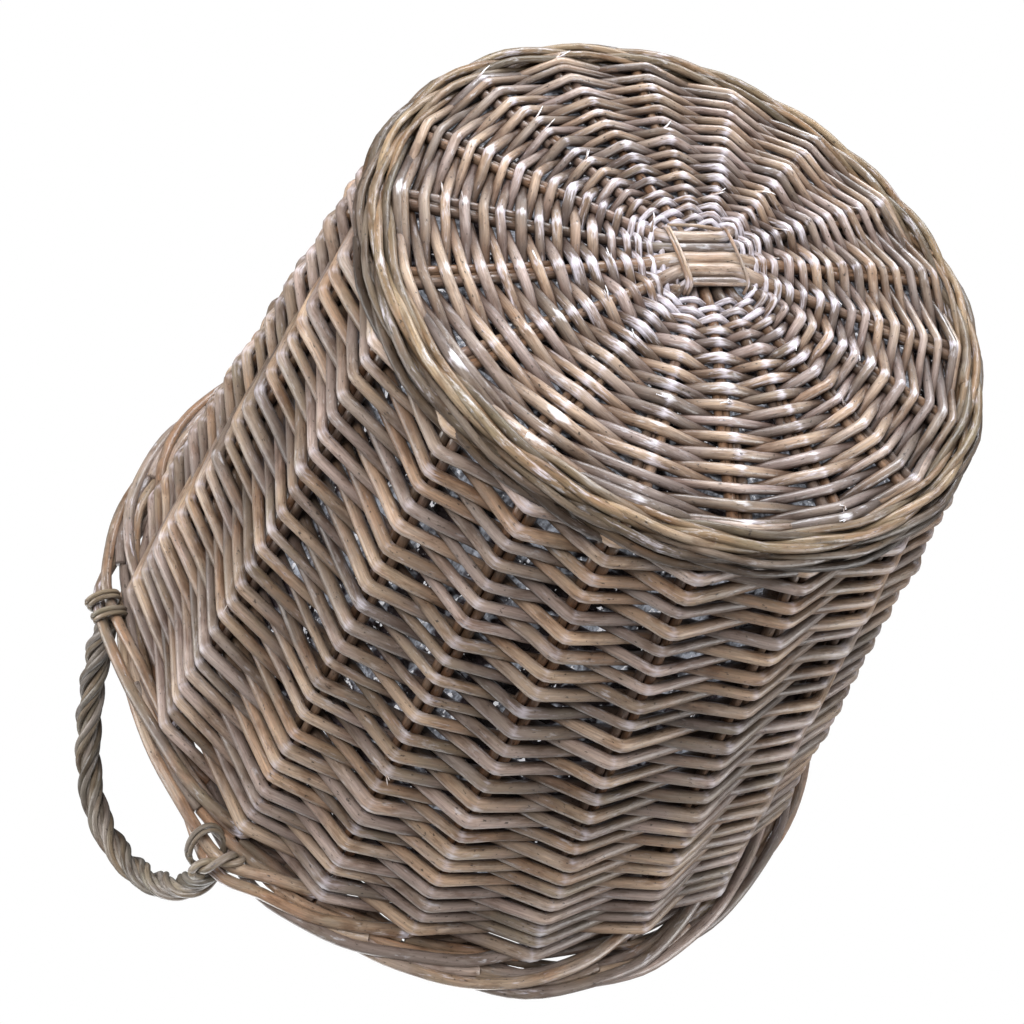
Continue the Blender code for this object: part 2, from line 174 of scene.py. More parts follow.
class BasketSizes(bpy.types.PropertyGroup):
    height: bpy.props.FloatProperty(
        name="Height", description="From the ground to the top of the border",
        default=0.400, unit="LENGTH")
    foot: bpy.props.FloatProperty(
        name="Foot radius", description="Outside radius of the wall at the ground",
        default=0.182, unit="LENGTH")
    mouth: bpy.props.FloatProperty(
        name="Mouth radius", description="Outside radius of the wall at the top",
        default=0.2575, unit="LENGTH")
    stake_depth: bpy.props.FloatProperty(
        name="Stake depth", description="From the wall's outside to the middle of the stakes",
        default=0.0121, unit="LENGTH")
    stake_rod: bpy.props.FloatProperty(
        name="Stake rod", description="Diameter of one of the two rods of a stake",
        default=0.0060, unit="LENGTH")
    stake_spread: bpy.props.FloatProperty(
        name="Stake spread", description="Between the two rods of a stake",
        default=0.0062, unit="LENGTH")
    weaver_low: bpy.props.FloatProperty(
        name="Weaver at the foot", description="Diameter of the wall's rods low down",
        default=0.0066, unit="LENGTH")
    weaver_high: bpy.props.FloatProperty(
        name="Weaver at the rim", description="Diameter of the wall's rods high up",
        default=0.0086, unit="LENGTH")
    wall_rows: bpy.props.IntProperty(
        name="Rows of the wall", description="Turns of the wall's weave", default=48)
    base_rod: bpy.props.FloatProperty(
        name="Base weaver", description="Diameter of the base's rods near its edge",
        default=0.0058, unit="LENGTH")
    base_rows: bpy.props.IntProperty(
        name="Rows of the base", description="Turns of the base's weave", default=31)
    wale_rod: bpy.props.FloatProperty(
        name="Wale rod", description="Diameter of the rods round the foot",
        default=0.0048, unit="LENGTH")
    border_rod: bpy.props.FloatProperty(
        name="Border rod", description="Diameter of the rods of the border",
        default=0.0082, unit="LENGTH")
    border_step: bpy.props.FloatProperty(
        name="Border step", description="Spacing of the rods across the border",
        default=0.0076, unit="LENGTH")
    rope_width: bpy.props.FloatProperty(
        name="Rope width", description="Diameter of a handle's rope",
        default=0.0195, unit="LENGTH")
    rope_lay: bpy.props.FloatProperty(
        name="Rope lay", description="Length of one full turn of the rope",
        default=0.088, unit="LENGTH")
    handle_rise: bpy.props.FloatProperty(
        name="Handle rise", description="From the border to the middle of the rope's top",
        default=0.130, unit="LENGTH")
    handle_tilt: bpy.props.FloatProperty(
        name="Handle tilt", description="Of the handles above level",
        default=math.radians(79.0), subtype="ANGLE")


class BasketColours(bpy.types.PropertyGroup):
    wall: bpy.props.FloatVectorProperty(
        name="Wall", description="Weathered bark of the wall's rods",
        default=(0.275, 0.213, 0.170), size=3, min=0, max=1, subtype="COLOR")
    base: bpy.props.FloatVectorProperty(
        name="Base", description="Paler bark of the base's rods",
        default=(0.298, 0.238, 0.200), size=3, min=0, max=1, subtype="COLOR")
    wale: bpy.props.FloatVectorProperty(
        name="Foot wale", description="Golden rods round the foot",
        default=(0.190, 0.149, 0.106), size=3, min=0, max=1, subtype="COLOR")
    handle: bpy.props.FloatVectorProperty(
        name="Handles", description="Grey-green bark of the handles' rods",
        default=(0.17, 0.145, 0.115), size=3, min=0, max=1, subtype="COLOR")
    # Also the colour of the painted glow of the film's pale patches
    film: bpy.props.FloatVectorProperty(
        name="Film", description="Tint of the clear liner",
        default=(0.50, 0.53, 0.60), size=3, min=0, max=1, subtype="COLOR")
    floor: bpy.props.FloatVectorProperty(
        name="Floor", description="Pale floor of the studio",
        default=(0.86, 0.86, 0.85), size=3, min=0, max=1, subtype="COLOR")


def sizes():
    return bpy.context.scene.basket_sizes


def colours():
    return bpy.context.scene.basket_colours


# Shader expressions

def sums(operation, swapped=False):
    """A method that joins a value and another one by a maths node."""
    def method(self, other):
        first, second = (other, self) if swapped else (self, other)
        return self.recipe.node("ShaderNodeMath", {"operation": operation}, {0: first, 1: second})
    return method


class Value:
    """A node socket that takes part in Python sums."""

    def __init__(self, recipe, socket):
        self.recipe = recipe
        self.socket = socket

    __add__ = sums("ADD")
    __radd__ = sums("ADD", True)
    __sub__ = sums("SUBTRACT")
    __rsub__ = sums("SUBTRACT", True)
    __mul__ = sums("MULTIPLY")
    __rmul__ = sums("MULTIPLY", True)

    def clipped(self, low, high, to_low=0.0, to_high=1.0):
        """From low to high, stretched to a new range and held inside it."""
        return self.recipe.node(
            "ShaderNodeMapRange", {"clamp": True},
            {"Value": self, "From Min": low, "From Max": high,
             "To Min": to_low, "To Max": to_high})


class Recipe:
    """One material, built up node by node."""

    def __init__(self, name):
        self.material = bpy.data.materials.new(name)
        self.material.use_nodes = True
        self.tree = self.material.node_tree
        self.shader = self.tree.nodes["Principled BSDF"]

    def join(self, value, socket):
        if isinstance(value, Value):
            self.tree.links.new(value.socket, socket)
        elif hasattr(value, "__len__") and len(value) == 3 and socket.type == "RGBA":
            socket.default_value = (*value, 1.0)
        else:
            socket.default_value = value

    def node(self, kind, settings=None, values=None, output=0):
        """Any node: its settings first, then what its sockets hold or take."""
        made = self.tree.nodes.new(kind)
        for key, setting in (settings or {}).items():
            setattr(made, key, setting)
        for key, value in (values or {}).items():
            self.join(value, made.inputs[key])
        return Value(self, made.outputs[output])

    def grain(self):
        """Coordinates of the straightened rod, in metres: across, across, along."""
        return self.node("ShaderNodeAttribute", {"attribute_name": "grain"}, output="Vector")

    def rod(self):
        """Three random shares that stay the same all over one rod."""
        parts = self.tree.nodes.new("ShaderNodeSeparateXYZ")
        source = self.node("ShaderNodeAttribute", {"attribute_name": "rod"}, output="Vector")
        self.join(source, parts.inputs[0])
        return [Value(self, socket) for socket in parts.outputs]

    def bend(self):
        """How sharply the rod is bent here, from 0 to 1."""
        return self.node("ShaderNodeAttribute", {"attribute_name": "bend"}, output="Fac")

    def stretched(self, vector, across, along):
        return self.node("ShaderNodeMapping", values={
            "Vector": vector, "Scale": (across, across, along)})

    def noise(self, vector, scale, detail=2.0, rough=0.5):
        return self.node("ShaderNodeTexNoise", values={
            "Vector": vector, "Scale": scale, "Detail": detail, "Roughness": rough})

    def patches(self, vector, across, along, detail=2.0, rough=0.5):
        """Noise drawn out along the rod."""
        return self.noise(self.stretched(vector, across, along), 1.0, detail, rough)

    def mix(self, share, low, high, blend="MIX"):
        """Two colours by a share. Sockets 6 and 7 are the node's colours."""
        return self.node("ShaderNodeMix", {"data_type": "RGBA", "blend_type": blend},
                         {0: share, 6: low, 7: high}, output=2)

    def times(self, colour, tint, share):
        """A colour multiplied by a tint, as far as the share goes."""
        return self.mix(share, colour, tint, "MULTIPLY")

    def length(self, vector):
        return self.node("ShaderNodeVectorMath", {"operation": "LENGTH"}, {0: vector},
                         output="Value")

    def bump(self, height, distance, strength=1.0):
        return self.node("ShaderNodeBump", values={
            "Height": height, "Distance": distance, "Strength": strength})

    def set(self, **values):
        for name, value in values.items():
            self.join(value, self.shader.inputs[name.replace("_", " ")])


def shaded(colour, factor):
    return tuple(min(1.0, part * factor) for part in colour)


def tinted(colour, tint, share):
    return tuple(part * (1 - share) + other * share for part, other in zip(colour, tint))


RUST = (0.36, 0.17, 0.075)
MOSS = (0.17, 0.165, 0.09)
ASH = (0.36, 0.34, 0.33)
BLOOM = (0.62, 0.63, 0.68)
SOOT = (0.025, 0.018, 0.014)
STRAW = (1.08, 1.01, 0.88)
LILAC = (0.97, 0.96, 1.05)
DIM = (0.52, 0.44, 0.38)
# Painted shade, laid deep in the weave and up the side of the foot
PAINTED_SHADE = (0.30, 0.25, 0.23)
# Pale white for worn crests and for painted highlights
BLEACH_AND_HIGHLIGHT = (0.84, 0.84, 0.88)
# Pale lilac for cracked bark and for painted highlights at the bends
SPLIT_AND_HIGHLIGHT = (0.66, 0.63, 0.71)


def willow(name, colour, roughness=0.42, worn=0.5, rust=0.45, moss=0.3, ash=0.35, gloss=0.25,
           shade_below=0.0, dark_beyond=0.0, side="base", crest_wear_and_highlight=0.0, cracked_and_highlight=0.5):
    """Weathered willow bark: tone by rod, streaks along it, patches and specks.

    Painted shade darkens what lies deep under the weave's outside and up the
    foot's side, wear and a painted highlight bleach the crests, and the bark is
    cracked pale at the bends, partly as a painted highlight."""
    look = Recipe(name)
    grain = look.grain()
    tone, hue, age = look.rod()
    body = look.mix(tone, shaded(colour, 0.50), shaded(colour, 1.55))
    blush = look.patches(grain, 40.0, 16.0, 2.0, 0.5)
    body = look.times(body, STRAW, (hue * 0.5 + blush - 0.25).clipped(0.40, 0.58))
    body = look.times(body, LILAC, (1.25 - hue * 0.5 - blush).clipped(0.52, 0.68))
    warm = look.patches(grain, 60.0, 22.0, 3.0, 0.6)
    warm_share = (warm + hue * 0.36 - 0.18).clipped(0.50, 0.70, 0.0, rust)
    body = look.mix(warm_share, body, tinted(colour, RUST, 0.75))
    green = look.noise(look.stretched(grain, 75.0, 30.0), 1.3, 2.0, 0.55)
    green_share = (green + age * 0.30 - 0.15).clipped(0.55, 0.75, 0.0, moss)
    body = look.mix(green_share, body, tinted(colour, MOSS, 0.7))
    pale = look.patches(grain, 140.0, 26.0, 4.0, 0.65)
    pale_share = (pale + (1.0 - age) * 0.2 - 0.1).clipped(0.54, 0.76, 0.0, ash)
    body = look.mix(pale_share, body, tinted(shaded(colour, 1.5), ASH, 0.6))
    streak = look.patches(grain, 900.0, 45.0, 3.0, 0.7)
    streak_share = streak.clipped(0.34, 0.60)
    body = look.mix(streak_share * 0.5, body, shaded(colour, 0.36))
    speck = look.patches(grain, 620.0, 300.0, 2.0, 0.6)
    speck_share = speck.clipped(0.64, 0.72, 0.0, 0.85)
    body = look.mix(speck_share, body, SOOT)
    bloom = look.patches(grain, 230.0, 60.0, 4.0, 0.7)
    bloom_share = bloom.clipped(0.60, 0.74, 0.0, worn)
    body = look.mix(bloom_share, body, BLOOM)
    place = look.node("ShaderNodeTexCoord", output="Object")
    height = look.node("ShaderNodeSeparateXYZ", values={0: place}, output="Z")
    # Painted shade on the stakes below the weave's top, where they sit back in the weave
    if shade_below:
        body = look.times(body, DIM, 1.0 - height.clipped(shade_below - 0.006, shade_below + 0.004))
    if dark_beyond:
        shifted = look.node("ShaderNodeVectorMath", {"operation": "SUBTRACT"},
                            {0: place, 1: tuple(SLATH_SHIFT)})
        reach = look.length(shifted)
        body = look.times(body, DIM, reach.clipped(dark_beyond, dark_beyond + 0.010))
    # Painted shade: darker the deeper a point lies under the weave's outside, by height on the base
    # and by depth on the wall
    if side == "base":
        shade_from = 0.0080 if dark_beyond else 0.0046
        body = look.times(body, PAINTED_SHADE, height.clipped(shade_from, shade_from + 0.0049, 0.0, 0.95))
        top = (0.0049 - height) * 1000.0
    elif side == "foot":
        # Painted shade, darker up the side of the foot's roll
        body = look.times(body, PAINTED_SHADE, height.clipped(0.0040, 0.0160, 0.0, 0.88))
        top = (0.0040 - height) * 1000.0
    else:
        flat = look.node("ShaderNodeVectorMath", {"operation": "MULTIPLY"},
                         {0: place, 1: (1.0, 1.0, 0.0)})
        size = sizes()
        slope = (size.mouth - size.foot) / size.height
        depth = height * slope + size.foot - look.length(flat)
        body = look.times(body, PAINTED_SHADE, depth.clipped(0.0045, 0.0150, 0.0, 0.85))
        top = (0.0030 - depth) * 1000.0
    stain = look.patches(grain, 150.0, 50.0, 3.0, 0.65)
    body = look.times(body, DIM, stain.clipped(0.50, 0.66, 0.0, 0.80))
    # Bark cracked pale at the bends, partly as a painted highlight
    split = look.patches(grain, 650.0, 90.0, 3.0, 0.65)
    crack_and_highlight = look.bend() * 0.45 + split * 0.9 + pale * 0.5 + (age - 0.5) * 0.2
    body = look.mix(crack_and_highlight.clipped(0.95, 1.25, 0.0, cracked_and_highlight), body, SPLIT_AND_HIGHLIGHT)
    # Wear bleaches the crests near the weave's outside, partly as a painted highlight
    if crest_wear_and_highlight:
        bleach_and_highlight = (top * 0.30 + pale * 1.6 + blush * 0.8 - 1.2).clipped(0.55, 0.95, 0.0, crest_wear_and_highlight)
        body = look.mix(bleach_and_highlight, body, BLEACH_AND_HIGHLIGHT)
    relief = streak_share * 0.5 + speck.clipped(0.5, 0.8) * 0.6 + pale * 0.5
    look.set(
        Base_Color=body,
        Roughness=(streak * 0.35 + pale * 0.25 + (roughness - 0.30)).clipped(0.0, 1.0),
        Coat_Weight=(bloom + pale - 0.5).clipped(0.25, 0.70, gloss * 0.5, gloss * 2.0),
        Normal=look.bump(relief, 0.0005, 0.6),
        Specular_IOR_Level=0.35,
        Coat_Roughness=0.20,
    )
    return look.material


def cut_wood(name, colour):
    """Fresh-cut end of a rod: pale wood, rings and a dark pith."""
    look = Recipe(name)
    grain = look.grain()
    rings = look.patches(grain, 500.0, 120.0, 3.0, 0.7)
    tone = look.mix(rings.clipped(0.35, 0.7), shaded(colour, 1.25), shaded(colour, 0.45))
    look.set(Base_Color=tone, Roughness=(rings * 0.3 + 0.5), Normal=look.bump(rings, 0.0004, 0.5))
    return look.material


def clear_film(name, colour):
    """The film's outer face: painted dark for the shaded inside behind it, with pale patches and
    painted glints on its creases, both glowing.
    """
    look = Recipe(name)
    place = look.node("ShaderNodeTexCoord", output="Object")
    cloud = look.noise(place, 45.0, 3.0, 0.6)
    crease = look.patches(place, 170.0, 90.0, 3.0, 0.65)
    fold = look.patches(place, 420.0, 160.0, 2.0, 0.6)
    low = look.node("ShaderNodeSeparateXYZ", values={0: place}, output="Z")
    pale = (cloud + low.clipped(0.06, 0.30, 0.05, -0.02)).clipped(0.52, 0.62)
    pale = pale * fold.clipped(0.36, 0.58, 0.25, 1.0)
    # Painted glints on the film's creases
    glint = (crease + cloud * 0.2 - 0.10).clipped(0.62, 0.66)
    # Painted shade: the film is dark for the shaded inside of the basket behind it
    tone = look.mix(cloud.clipped(0.40, 0.60), (0.040, 0.030, 0.030), (0.125, 0.092, 0.110))
    tone = look.mix(pale, tone, colour)
    look.set(
        Base_Color=look.mix(glint, tone, BLEACH_AND_HIGHLIGHT),
        # Painted glow: the glints and the pale patches emit light though no lamp is there
        Emission_Color=look.mix(glint, look.mix(pale, (0.0, 0.0, 0.0), shaded(colour, 0.7)),
                                BLEACH_AND_HIGHLIGHT),
        Roughness=(crease * 0.3 + 0.02),
        Normal=look.bump(crease, 0.004, 0.9),
        Emission_Strength=0.6,
        IOR=1.5,
    )
    return look.material


def film_inside(name):
    """The film's inner face, with the willow behind it showing dimly."""
    look = Recipe(name)
    place = look.node("ShaderNodeTexCoord", output="Object")
    rows = look.patches(place, 16.0, 130.0, 3.0, 0.6)
    fold = look.patches(place, 60.0, 25.0, 3.0, 0.6)
    tone = look.mix(rows.clipped(0.38, 0.62), (0.070, 0.052, 0.040), (0.190, 0.155, 0.130))
    look.set(
        Base_Color=look.mix(fold.clipped(0.55, 0.72, 0.0, 0.5), tone, (0.34, 0.33, 0.33)),
        Roughness=(fold * 0.3 + 0.12),
        Normal=look.bump(fold, 0.004, 0.6),
    )
    return look.material


# Rods

def polar(angle, radius, height):
    return Vector((radius * math.cos(angle), radius * math.sin(angle), height))


def outward(point):
    return Vector((point.x, point.y, 0.0)).normalized()


class Rod:
    """A willow rod: the points of its middle, its radius at each, and a seed."""

    def __init__(self, points, radii, seed):
        self.points = points
        self.radii = radii
        self.seed = seed
        self.torn = 0.0

    def bend(self, index):
        """How sharply the rod turns at a point: 0 for straight, 1 for a kink."""
        if index in (0, len(self.points) - 1):
            return self.torn
        into = self.points[index] - self.points[index - 1]
        away = self.points[index + 1] - self.points[index]
        return max(min(into.angle(away, 0.0) / KINK, 1.0), self.torn)


def distances(points):
    """How far along the path each of its points lies."""
    found = [0.0]
    for near, far in zip(points, points[1:]):
        found.append(found[-1] + (far - near).length)
    return found


def tapered(points, butt, tip, seed, lumps=0.05):
    """A rod that thins from its butt to its tip, with slight swellings."""
    lengths = distances(points)
    radii = []
    for here in lengths:
        share = here / lengths[-1]
        swell = noise.noise(Vector((here * 45.0, seed * 7.3, 0.0)))
        radii.append((butt + (tip - butt) * share) / 2 * (1.0 + lumps * swell))
    return Rod(points, radii, seed)


def bent(corners, reach):
    """A path through the corners with each bend rounded within a reach."""
    points = [corners[0]]
    for before, corner, after in zip(corners, corners[1:], corners[2:]):
        into = (corner - before)
        away = (after - corner)
        short = min(reach, into.length * 0.45, away.length * 0.45)
        start = corner - into.normalized() * short
        end = corner + away.normalized() * short
        points.append(start)
        points.append(start.lerp(corner, 0.5).lerp(corner.lerp(end, 0.5), 0.5))
        points.append(end)
    points.append(corners[-1])
    return points


def splinters(corners, share, seed):
    """Tufts of torn fibres at some of a rod's bends, along the way the rod came."""
    chance = random.Random(seed)
    made = []
    for before, corner, after in zip(corners, corners[1:], corners[2:]):
        if chance.random() < share:
            run = (corner - before).normalized()
            lift = (run - (after - corner).normalized()).normalized()
            aside = run.cross(lift)
            start = corner - run * 0.004 + lift * 0.0018
            for _ in range(chance.randint(1, 3)):
                reach = chance.uniform(0.004, 0.012)
                curl = (lift * chance.uniform(0.000, 0.004)
                        + aside * chance.uniform(-0.003, 0.003))
                points = [start + run * reach * part / 3 + curl * (part / 3) ** 2
                          for part in range(4)]
                for point in points:
                    point.z = max(point.z, FIBRE_FLOOR)
                fibre = tapered(points, chance.uniform(0.0008, 0.0018), 0.0004,
                                chance.randint(1, 9999))
                fibre.torn = FIBRE_TORN
                made.append(fibre)
    return made


def with_middles(points, wander, seed):
    """Adds a point half way along each long run, slightly off its line."""
    made = [points[0]]
    for index, (near, far) in enumerate(zip(points, points[1:])):
        run = (far - near).length
        if run > 0.012:
            count = 2 if run > 0.03 else 1
            for step in range(count):
                share = (step + 1) / (count + 1)
                middle = near.lerp(far, share)
                drift = noise.noise_vector(Vector((seed * 3.1, index * 0.7, step * 5.0)))
                made.append(middle + drift * wander)
        made.append(far)
    return made


def sweep(name, rods, sides=12):
    """One mesh of many round rods, with cut ends and rod coordinates."""
    curve = bpy.data.curves.new(name, "CURVE")
    curve.dimensions = "3D"
    curve.twist_mode = "MINIMUM"
    curve.bevel_depth = 1.0
    curve.bevel_resolution = sides // 2 - 2
    curve.use_fill_caps = False
    for rod in rods:
        spline = curve.splines.new("POLY")
        spline.points.add(len(rod.points) - 1)
        for index, point in enumerate(rod.points):
            spline.points[index].co = (*point, 1.0)
            spline.points[index].radius = rod.radii[index]
    guide = bpy.data.objects.new(f"{name}_guide", curve)
    bpy.context.scene.collection.objects.link(guide)
    bpy.context.view_layer.update()
    evaluated = guide.evaluated_get(bpy.context.evaluated_depsgraph_get())
    mesh = bpy.data.meshes.new_from_object(evaluated)
    bpy.data.objects.remove(guide)
    bpy.data.curves.remove(curve)
    grain = []
    shares = []
    bends = []
    for rod in rods:
        chance = random.Random(rod.seed)
        look = (chance.random(), chance.random(), chance.random())
        along = chance.uniform(0.0, 40.0)
        for index, point in enumerate(rod.points):
            if index:
                along += (point - rod.points[index - 1]).length
            for side in range(sides):
                angle = math.tau * side / sides
                grain.append((rod.radii[index] * math.cos(angle),
                              rod.radii[index] * math.sin(angle), along))
                shares.append(look)
            bends.extend([rod.bend(index)] * sides)
    for layer, kind, field, held in (("grain", "FLOAT_VECTOR", "vector", grain),
                                     ("rod", "FLOAT_VECTOR", "vector", shares),
                                     ("bend", "FLOAT", "value", bends)):
        data = mesh.attributes.new(layer, kind, "POINT").data
        data.foreach_set(field, np.array(held, dtype=np.float32).ravel())
    shell = bmesh.new()
    shell.from_mesh(mesh)
    rims = [edge for edge in shell.edges if edge.is_boundary]
    ends = bmesh.ops.holes_fill(shell, edges=rims, sides=0)["faces"]
    for end in ends:
        end.material_index = 1
    bmesh.ops.inset_individual(shell, faces=ends, thickness=0.0005, depth=0.0004,
                               use_even_offset=True)
    bmesh.ops.recalc_face_normals(shell, faces=shell.faces)
    shell.to_mesh(mesh)
    shell.free()
    mesh.name = name
    mesh.shade_smooth()
    mesh.set_sharp_from_angle(angle=math.radians(55.0))
    return mesh


def place(name, mesh, looks, body, nodes, slot):
    piece = bpy.data.objects.new(name, mesh)
    bpy.context.scene.collection.objects.link(piece)
    mesh.materials.clear()
    for look in looks:
        mesh.materials.append(look)
    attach(piece, body)
    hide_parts(*nodes)
    return piece


# Finishes: a colour, how bright, and what differs from willow's own values
FINISHES = {
    "wall": ("wall", 1.0, {"worn": 0.45, "rust": 0.4, "gloss": 0.22, "side": "wall",
                           "crest_wear_and_highlight": 0.35, "cracked_and_highlight": 0.30}),
    "base": ("base", 1.0, {"worn": 0.75, "moss": 0.12, "rust": 0.3, "gloss": 0.6,
                           "crest_wear_and_highlight": 0.9, "cracked_and_highlight": 0.85}),
    "stick": ("base", 1.0, {"worn": 0.7, "rust": 0.5, "gloss": 0.4, "dark_beyond": 0.026}),
    "wale": ("wale", 1.0, {"worn": 0.6, "rust": 0.4, "side": "foot", "crest_wear_and_highlight": 0.25,
                           "cracked_and_highlight": 0.9}),
    "stake": ("wall", 0.95, {"roughness": 0.38, "worn": 0.6, "rust": 0.65, "gloss": 0.5,
                             "shade_below": 0.370, "side": "wall", "cracked_and_highlight": 0.9}),
    "handle": ("handle", 1.0, {"roughness": 0.5, "worn": 0.25, "rust": 0.15, "side": "wall",
                               "cracked_and_highlight": 0.15}),
}
LOOKS = {}


def looks(name):
    """The bark and the cut wood of one finish, made once."""
    if name not in LOOKS:
        colour, factor, values = FINISHES[name]
        bark = willow(f"willow_{name}", shaded(getattr(colours(), colour), factor), **values)
        LOOKS[name] = (bark, cut_wood(f"cut_{name}", shaded(colours().base, 0.8)))
    return LOOKS[name]


# Stakes

def mark_angles(column):
    angles = []
    for low, high in zip(STAKE_MARKS, STAKE_MARKS[1:]):
        steps = high[0] - low[0]
        for step in range(steps):
            share = step / steps
            angles.append(math.radians(low[column] * (1 - share) + high[column] * share))
    return angles


FOOT_ANGLES = mark_angles(1)
RIM_ANGLES = mark_angles(2)


def stake_angle(angles, number):
    turns, index = divmod(number, STAKE_COUNT)
    return angles[index] - turns * math.tau


def stake_radius(height):
    size = sizes()
    return size.foot + (size.mouth - size.foot) / size.height * height - size.stake_depth


def stake_point(number, height):
    low = polar(stake_angle(FOOT_ANGLES, number), stake_radius(STAKE_FOOT), STAKE_FOOT)
    high = polar(stake_angle(RIM_ANGLES, number), stake_radius(WEAVE_TOP), WEAVE_TOP)
    return low.lerp(high, (height - STAKE_FOOT) / (WEAVE_TOP - STAKE_FOOT))


def border_point(number, passed, out_rods, drop_rods):
    size = sizes()
    whole = math.floor(passed)
    share = passed - whole
    low = stake_angle(RIM_ANGLES, number - whole)
    high = stake_angle(RIM_ANGLES, number - whole - 1)
    height = size.height - size.border_step / 2 - drop_rods * size.border_step
    angle = low + (high - low) * share
    turned = (math.degrees(angle) - 60.0) % 360.0 - 300.0
    stray = float(np.interp(turned, *zip(*BORDER_STRAY))) * min(max(out_rods, 0.0) / 2.0, 1.0)
    radius = stake_radius(height) + (out_rods + stray) * size.border_step
    return polar(angle, radius, height)


def smooth_path(points, steps=4):
    """A smooth curve through the points."""
    made = []
    last = len(points) - 1
    for index in range(last):
        p0 = points[max(index - 1, 0)]
        p1 = points[index]
        p2 = points[index + 1]
        p3 = points[min(index + 2, last)]
        for step in range(steps):
            t = step / steps
            made.append(0.5 * ((2 * p1) + (p2 - p0) * t + (2 * p0 - 5 * p1 + 4 * p2 - p3) * t * t
                               + (3 * p1 - p0 - 3 * p2 + p3) * t ** 3))
    made.append(points[-1])
    return made


def stake_rods(number):
    """The two rods of a stake, each bent over at the top into the border."""
    size = sizes()
    chance = random.Random(4000 + number)
    side = outward(stake_point(number, 0.2)).cross(UP) * size.stake_spread / 2
    rods = []
    seats = [stake for ends in HANDLE_STAKES.values() for stake in ends]
    for hand, route, seat_route in zip((-1, 1), BORDER_ROUTES, SEAT_ROUTES):
        rise = []
        for step in range(9):
            height = STAKE_FOOT + 0.002 + (WEAVE_TOP - 0.006 - STAKE_FOOT) * step / 8
            drift = noise.noise_vector(Vector((number * 3.0, hand * 9.0, step * 0.8))) * 0.0006
            rise.append(stake_point(number, height) + side * hand + drift)
        corners = [rise[-1]]
        for passed, out, drop in route:
            loose = 0.14
            if passed in seat_route and (number - passed) % STAKE_COUNT in seats:
                out, drop = seat_route[passed]
                loose = 0.0
            corners.append(border_point(number, passed, out + chance.uniform(-loose, loose),
                                        max(drop + chance.uniform(-loose, loose), 0.0)))
        path = rise[:-1] + smooth_path(corners, 4)
        rod = tapered(path, size.stake_rod, size.stake_rod, 5000 + number * 4 + hand, 0.05)
        thick = size.border_rod / size.stake_rod * chance.uniform(0.93, 1.06)
        for index in range(len(rise), len(path)):
            growth = min((index - len(rise) + 1) / 3, 1.0)
            thin = 1.0 - 0.18 * (index - len(rise)) / (len(path) - len(rise))
            rod.radii[index] *= 1.0 + growth * (thick * thin - 1.0)
        rods.append(rod)
    for index, route in enumerate(BORDER_FILLERS):
        if index > 0 or (number - 1) % STAKE_COUNT not in seats:
            corners = [border_point(number, *corner) for corner in route]
            rods.append(tapered(smooth_path(corners, 4), 0.0075, 0.0066, 6000 + number * 3 + index))
    return rods


# Weaving

def spans(first, last, lengths, parity, shortest, chance):
    """Start and stop of each rod of a spiral, joined on steps of one parity."""
    step = first
    while step < last:
        stop = min(step + chance.randint(*lengths(step)), last)
        stop += (stop + parity) % 2
        if last - stop < shortest:
            stop = last
        yield step, stop
        step = stop


def woven(corners, width, tip, wander, lumps, torn, seed):
    """A rod through its corners and a little on, with fibres at its torn bends."""
    tail = (corners[-1] - corners[-2]).normalized()
    corners.append(corners[-1] + tail * TAIL)
    path = with_middles(bent(corners, BEND_REACH), wander, seed)
    return [tapered(path, width, tip, seed, lumps), *splinters(corners, torn, seed)]


# Wall

def row_height(row):
    """Height of a row's middle: rows stand widest apart half way up."""
    total = sizes().wall_rows
    share = row / total
    lift = share - 0.20 * math.sin(math.tau * share) / math.tau * 0.55
    return ROWS_LOW + (ROWS_HIGH - ROWS_LOW) * lift


def weaver_width(row):
    size = sizes()
    share = min(row / size.wall_rows * 1.5, 1.0) ** 0.8
    return size.weaver_low + (size.weaver_high - size.weaver_low) * share


def wall_corner(step, width, chance):
    """Where a weaver passes a stake: outside on even steps, inside on odd."""
    size = sizes()
    height = row_height(step / STAKE_COUNT) + chance.uniform(-0.0013, 0.0013)
    stake = stake_point(step, height)
    stand = (size.stake_rod + width) / 2 + 0.0006
    side = 1.0 if step % 2 == 0 else -1.0
    across = outward(stake)
    along = across.cross(UP)
    return (stake + across * (stand * side + chance.uniform(-0.0005, 0.0005))
            + along * chance.uniform(-0.0012, 0.0012))


def wall_rods(first_step, last_step, seed):
    """Rods laid one after the other along the spiral, butt to tip."""
    rods = []
    chance = random.Random(seed)
    laid = spans(first_step, last_step, lambda step: (11, 17), 1, 5, chance)
    for number, (step, stop) in enumerate(laid):
        width = weaver_width(step / STAKE_COUNT) * chance.uniform(0.88, 1.15)
        tip = width * chance.uniform(0.74, 0.88)
        corners = []
        for here in range(step, stop + 1):
            share = (here - step) / (stop - step)
            corners.append(wall_corner(here, width + (tip - width) * share, chance))
        lead = (corners[0] - corners[1]).normalized()
        corners.insert(0, corners[0] + lead * 0.006 - outward(corners[0]) * 0.0015)
        rods.extend(woven(corners, width, tip, 0.0010, 0.07, 0.015, seed * 100 + number))
    return rods


# Base

